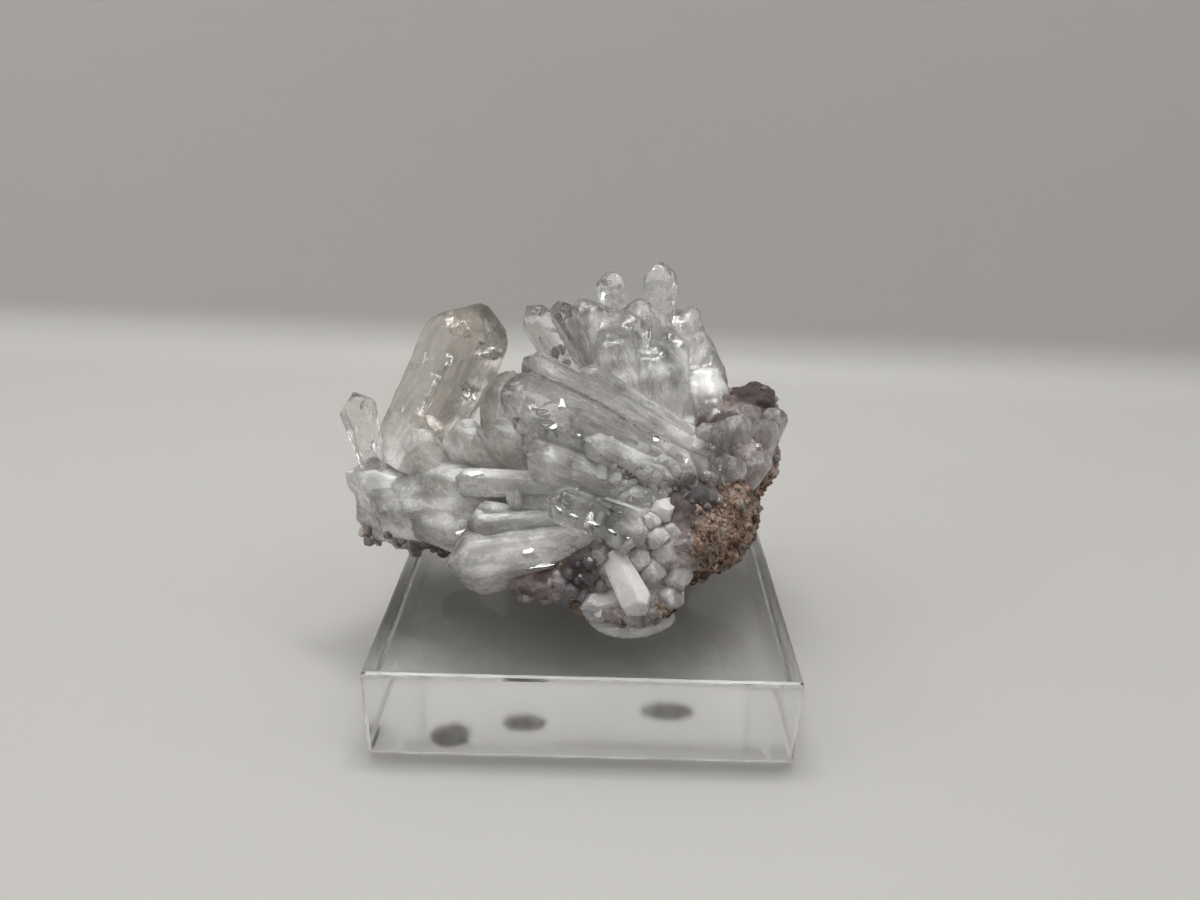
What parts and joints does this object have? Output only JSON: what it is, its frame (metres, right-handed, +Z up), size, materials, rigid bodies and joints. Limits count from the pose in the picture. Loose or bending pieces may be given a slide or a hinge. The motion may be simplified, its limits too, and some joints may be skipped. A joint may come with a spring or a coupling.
{
  "type": "calcite specimen",
  "caption": "Sprays of clear calcite crystals on a lump of purple-brown rock, stuck to a square clear display block that stands flat.",
  "frame": {"origin": "centre of the display block's flat underside", "axes": "+X to the right along the block's front edge, +Y to the back, +Z up"},
  "size_m": [0.0589, 0.0522, 0.0473],
  "materials": {
    "acrylic": "clear cast acrylic with polished faces and edges",
    "adhesive": "soft clear adhesive, squeezed flat",
    "rock": "rough purple-brown rock with a sugary crust of small crystals and orange-brown earthy edges",
    "calcite": "clear to milky natural crystal faces, finely striped along their length"
  },
  "bodies": {
    "root": {"display_block": "acrylic", "adhesive_dot_front": "adhesive", "adhesive_dot_left": "adhesive", "adhesive_dot_middle": "adhesive", "adhesive_dot_back": "adhesive", "rock": "rock", "crystal_spray_front": "calcite", "crystal_spray_left": "calcite", "crystal_spray_back": "calcite"}
  },
  "joints": []
}
